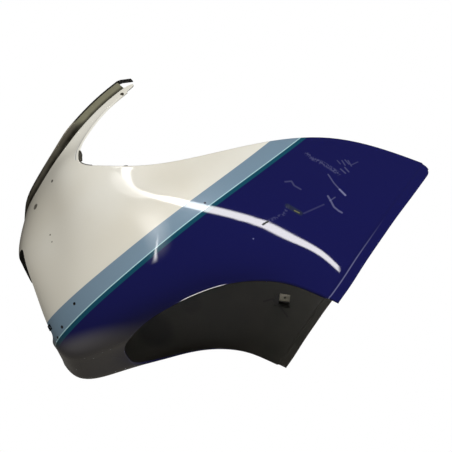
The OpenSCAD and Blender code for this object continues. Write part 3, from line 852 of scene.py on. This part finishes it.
rubber = rubber_material()
slot_out, slot_in, slot_end = rubber_fit, -wall - rubber_fit, flange_w + rubber_fit
edging_in, edging_out = flange_w - edging_grip, flange_w + edging_t
lip_in = edging_out - edging_lip
bead = 0.0006
edging_profile = [
    (lip_in, slot_out + edging_t - bead), (lip_in + bead, slot_out + edging_t),
    (edging_out - bead, slot_out + edging_t),
    (edging_out, slot_out + edging_t - bead), (edging_out, slot_in - edging_t + bead),
    (edging_out - bead, slot_in - edging_t), (edging_in + bead, slot_in - edging_t),
    (edging_in, slot_in - edging_t + bead), (edging_in, slot_in), (slot_end, slot_in),
    (slot_end, slot_out), (lip_in, slot_out),
]


def swept(line, normals, off, profile):
    return np.stack([line + s * off + t * normals for s, t in profile], 1)


lean_n = math.cos(flange_lean) * front_n - math.sin(flange_lean) * flange_off
lean_off = math.cos(flange_lean) * flange_off + math.sin(flange_lean) * front_n
edge_line = front_p + flange_step * flange_off - flange_d * front_n
way = unit(edge_line[-1] - edge_line[-2])
# Past the tip of the arm there is no flange to grip, so the tail is a solid bar
slot_corners = 8
tail_in = edging_out - tail_w
solid_profile = [
    (tail_in, t) if s < tail_in or k >= slot_corners else (s, t)
    for k, (s, t) in enumerate(edging_profile)
]


def edging_rings(level):
    """Rings up one arm to the end of its tail, which bends towards level."""
    tail = [edge_line[-1] + tail_shares[0] * edging_tail * way]
    tail.append(tail[-1] + tail_shares[1] * edging_tail * unit(way + level))
    tail.append(tail[-1] + tail_shares[2] * edging_tail * level)
    solid = swept(np.array(tail), lean_n[-1], lean_off[-1], solid_profile)
    return np.concatenate([swept(edge_line, lean_n, lean_off, edging_profile), solid])


rings = np.concatenate([edging_rings(tail_sag)[:0:-1] * mirror, edging_rings(tail_level)])
rings = np.clip(rings, *cad_box)
edging = closed(mesh_object(
    "screen_edging", rings.reshape(-1, 3), tube_faces(len(rings), len(edging_profile)), [rubber]
))
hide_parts("screen_edge_rubber")
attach(edging, "root")

# Notch rubbers: a short strip pressed against the rolled rim in the notch behind each arm, thick
# up the side of the arm and drawn out thin along the top of the side.
notch_near, notch_far = rim_r + rubber_fit, rim_r + 0.005
notch_h = 0.009
notch_start = 4.06
notch_a = np.linspace(notch_start, notch_end, 30)
# Along the strip: how far it stands off the rim and how deep it reaches, as shares
notch_stops = [0, 0.06, 0.27, 0.4, 1]
notch_widths = [0.5, 1, 1, 0.25, 0.1]
notch_depths = [0.6, 0.95, 0.95, 0.5, 0.3]
known_a = [a for a, gap in columns[back_column:] if gap is None]


def along_notch(values):
    known = values[arm_rows:arm_rows + len(known_a)]
    return np.stack([np.interp(notch_a, known_a, known[:, k]) for k in range(3)], 1)


notch_line, notch_n = along_notch(back_p), unit(along_notch(back_n))
notch_off = unit(along_notch(rim_off))
run_share = np.linspace(0, 1, len(notch_a))
full = np.interp(run_share, notch_stops, notch_widths)
depth = np.interp(run_share, notch_stops, notch_depths)
notch_rings = []
for p, n, off, f, d in zip(notch_line, notch_n, notch_off, full, depth):
    wide, low = notch_near + f * (notch_far - notch_near), -notch_h * (0.1 + 0.88 * d)
    ring = [(notch_near, -0.0002), (wide, -0.0012), (wide, low + 0.001), (notch_near, low)]
    notch_rings.append([p + s * off + t * n for s, t in ring])
notch_rings = np.array(notch_rings)
for side, node in ((1, "left_notch_rubber"), (-1, "right_notch_rubber")):
    notch_p = notch_rings.reshape(-1, 3) * np.array([side, 1, 1])
    strip_faces = tube_faces(len(notch_rings), 4)
    strip = closed(mesh_object(node[:-7] + "_strip", notch_p, strip_faces, [rubber]))
    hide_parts(node)
    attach(strip, "root")


# Rear brackets: black moulded plastic, a base plate and a square boss, bonded inside each side.
def plastic_material():
    m = Maker("black_plastic")
    m.set(Base_Color=m.mix(m.noise(50.0, 4.0), srgb(16, 16, 15), srgb(30, 29, 27)), Roughness=0.5)
    m.bump(m.noise(800.0, 3.0), 0.15, 0.0003)
    return m.material


def dress(node, material):
    """Give a piece of the CAD model its finish."""
    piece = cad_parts[node]
    piece.data.materials.clear()
    piece.data.materials.append(material)


black_plastic = plastic_material()
for node in ("left_rear_bracket", "right_rear_bracket"):
    dress(node, black_plastic)


# Clip nuts: bent spring steel with a threaded barrel, zinc plated on the rear bosses and
# blackened on the sides of the lamp opening.
def steel_material(name, dark, light, rough):
    m = Maker(name)
    m.set(Base_Color=m.mix(m.noise(120.0, 4.0), dark, light), Metallic=1.0, Roughness=rough)
    m.bump(m.noise(500.0, 3.0), 0.1, 0.0002)
    return m.material


zinc = steel_material("zinc_plate", srgb(96, 92, 82), srgb(140, 136, 124), 0.38)
blackened = steel_material("blackened_steel", srgb(18, 18, 18), srgb(40, 40, 38), 0.45)
for side in ("left", "right"):
    for kind, material in (("rear", zinc), ("lamp", blackened)):
        dress(f"{side}_{kind}_clip_nut", material)

# Studio: a pale floor, a white surround, bent strip lamps that only show as highlights in the
# lacquer (along the side, upright near the nose, on the wheel arch lip), and two soft area lamps.
lamp_distance = 3.0
lamp_colour = (1, 0.98, 0.97, 1)


def direction(azimuth, elevation):
    a, e = math.radians(azimuth), math.radians(elevation)
    return Vector((math.cos(a) * math.cos(e), math.sin(a) * math.cos(e), math.sin(e)))


def emitter(name, strength, edge_share):
    """Glow that fades over the outer share of the lamp's width and towards its two ends."""
    m = Maker(name)
    uv = m.nodes.new("ShaderNodeSeparateXYZ")
    m.links.new(m.nodes.new("ShaderNodeUVMap").outputs[0], uv.inputs[0])
    over_width = m.ramp(uv.outputs[0], 1.0, 1.0 - edge_share)
    over_length = m.ramp(uv.outputs[1], 1.0, 0.0)
    level = m.math("MULTIPLY", over_width, over_length)
    glow = m.nodes.new("ShaderNodeEmission")
    glow.inputs["Color"].default_value = lamp_colour
    m.links.new(m.math("MULTIPLY", level, strength), glow.inputs["Strength"])
    both = m.nodes.new("ShaderNodeAddShader")
    m.links.new(glow.outputs[0], both.inputs[0])
    m.links.new(m.nodes.new("ShaderNodeBsdfTransparent").outputs[0], both.inputs[1])
    m.links.new(both.outputs[0], m.nodes["Material Output"].inputs["Surface"])
    m.nodes.remove(m.shader)
    m.material.cycles.emission_sampling = "NONE"
    return m.material


centre = Vector((0.27, 0.03, 0.18))
lamp_columns = 5
lamp_smoothing = 6


def strip_lamp(name, rows, distance, strength, soft):
    """A narrow bent lamp that fills in its highlight without hiding what is behind it.

    Each row: a place on the part, the way from it to the lamp and the half width in degrees.
    soft holds the shares of the half width, of the start and of the end over which it fades."""
    spots = np.array([np.array(at) + distance * unit(np.array(to)) for at, to, _ in rows])
    halves = np.array([half for _, _, half in rows])
    fine = np.linspace(0, len(rows) - 1, 8 * len(rows))
    coarse = np.arange(len(rows))
    path = np.stack([np.interp(fine, coarse, spots[:, k]) for k in range(3)], 1)
    wide = np.interp(fine, coarse, halves)
    for _ in range(lamp_smoothing):
        path[1:-1] = (path[:-2] + 2 * path[1:-1] + path[2:]) / 4
        wide[1:-1] = (wide[:-2] + 2 * wide[1:-1] + wide[2:]) / 4
    run = np.gradient(path, axis=0)
    side_way = unit(np.cross(run, path - np.array(centre)))
    reach = distance * np.radians(wide)[:, None] * side_way
    shares = np.linspace(-1, 1, lamp_columns)
    made = np.stack([path + k * reach for k in shares], 1).reshape(-1, 3)
    quads = patch(lambda i, j: i * lamp_columns + j, range(len(path) - 1), range(lamp_columns - 1))
    lamp = mesh_object(name, made, quads, [emitter(name + "_glow", strength, soft[0])])
    uv = lamp.data.uv_layers.new(name="UVMap")
    for loop in lamp.data.loops:
        i, j = divmod(loop.vertex_index, lamp_columns)
        done = i / (len(path) - 1)
        near_end = max(0, 1 - done / soft[1], 1 - (1 - done) / soft[2])
        uv.data[loop.index].uv = (abs(shares[j]), near_end)
    lamp.visible_camera = False
    lamp.visible_diffuse = False
    lamp.visible_shadow = False
    return lamp


side_strip = strip_lamp("side_strip", [
    ((0.2149, -0.2784, 0.3460), (0.620, -0.548, 0.561), 1.1),
    ((0.2323, -0.2088, 0.3239), (0.705, -0.274, 0.655), 1.2),
    ((0.2403, -0.1817, 0.2927), (0.672, -0.254, 0.695), 1.5),
    ((0.2584, -0.1150, 0.2463), (0.726, -0.188, 0.661), 2.4),
    ((0.2692, -0.0495, 0.2133), (0.858, -0.021, 0.514), 3.0),
    ((0.2725, -0.0044, 0.1939), (0.905, 0.078, 0.419), 2.6),
    ((0.2735, 0.0238, 0.1812), (0.919, 0.126, 0.373), 2.3),
    ((0.2740, 0.0653, 0.1595), (0.931, 0.183, 0.317), 2.2),
    ((0.2721, 0.1175, 0.1205), (0.959, 0.232, 0.161), 2.6),
    ((0.2670, 0.1679, 0.0772), (0.959, 0.280, 0.040), 1.9),
    ((0.2639, 0.1850, 0.0563), (0.952, 0.305, 0.021), 1.3),
], lamp_distance, 19, (0.5, 0.42, 0.04))
upright_strip = strip_lamp("upright_strip", [
    ((0.2529, -0.1410, 0.1800), (0.890, -0.350, 0.290), 0.6),
    ((0.2523, -0.1465, 0.1666), (0.907, -0.358, 0.223), 0.6),
    ((0.2482, -0.1528, 0.1463), (0.912, -0.385, 0.139), 0.7),
    ((0.2424, -0.1578, 0.1208), (0.922, -0.385, -0.030), 1.8),
], lamp_distance, 16, (1.0, 0.7, 0.25))
soft_column = strip_lamp("soft_column", [
    ((0.2423, -0.1890, 0.2608), (0.703, -0.340, 0.625), 9),
    ((0.2530, -0.1540, 0.2183), (0.793, -0.325, 0.516), 9),
    ((0.2523, -0.1465, 0.1666), (0.907, -0.358, 0.223), 7),
    ((0.2424, -0.1578, 0.1208), (0.922, -0.385, -0.030), 5),
], lamp_distance, 5, (1.0, 0.6, 0.6))
arch_spot = (0.2341, -0.0202, 0.0716)
low_strip = strip_lamp("low_strip", [
    (arch_spot, (-0.834, 0.19, -0.90), 1.7),
    (arch_spot, (-0.634, 0.13, -0.90), 1.7),
    (arch_spot, (-0.434, 0.09, -0.90), 1.7),
    (arch_spot, (-0.234, 0.05, -0.90), 1.7),
], 1.1, 16, (0.3, 0.1, 0.1))
floor_z, floor_half = -0.45, 6.0
floor_glow = 0.55
floor_mesh = [(x, y, floor_z) for x in (-floor_half, floor_half) for y in (-floor_half, floor_half)]
floor_paper = Maker("floor_paper")
floor_paper.set(Base_Color=(0.9, 0.9, 0.89, 1), Roughness=0.9)
floor_paper.set(Emission_Color=(1, 1, 0.99, 1), Emission_Strength=floor_glow)
floor_paper.material.cycles.emission_sampling = "NONE"
floor = mesh_object("floor", floor_mesh, [(0, 2, 3, 1)], [floor_paper.material])
floor.visible_glossy = False
floor.visible_diffuse = False


def area_lamp(name, way, power, size):
    light = bpy.data.lights.new(name, "AREA")
    light.energy = power
    light.size = size
    lamp = bpy.data.objects.new(name, light)
    bpy.context.scene.collection.objects.link(lamp)
    lamp.location = centre + lamp_distance * way
    lamp.rotation_euler = way.to_track_quat("Z", "Y").to_euler()
    lamp.visible_camera = False
    lamp.visible_glossy = False
    return lamp


area_lamp("side_lamp", direction(16, -4), 120, 1.6)
area_lamp("front_lamp", direction(-50, 5), 10, 1.6)

# The camera sees white, and the part a faint warm fill
fill_strength = 0.09
world = bpy.data.worlds.new("surround")
bpy.context.scene.world = world
world.use_nodes = True
wn, wl = world.node_tree.nodes, world.node_tree.links
seen = wn["Background"]
seen.inputs["Color"].default_value = (1, 1, 1, 1)
seen.inputs["Strength"].default_value = 1.0
fill = wn.new("ShaderNodeBackground")
fill.inputs["Color"].default_value = (1, 0.93, 0.82, 1)
fill.inputs["Strength"].default_value = fill_strength
path = wn.new("ShaderNodeLightPath")
choose = wn.new("ShaderNodeMixShader")
wl.new(path.outputs["Is Camera Ray"], choose.inputs["Fac"])
wl.new(fill.outputs[0], choose.inputs[1])
wl.new(seen.outputs[0], choose.inputs[2])
wl.new(choose.outputs[0], wn["World Output"].inputs["Surface"])
bpy.context.scene.view_settings.view_transform = "Standard"
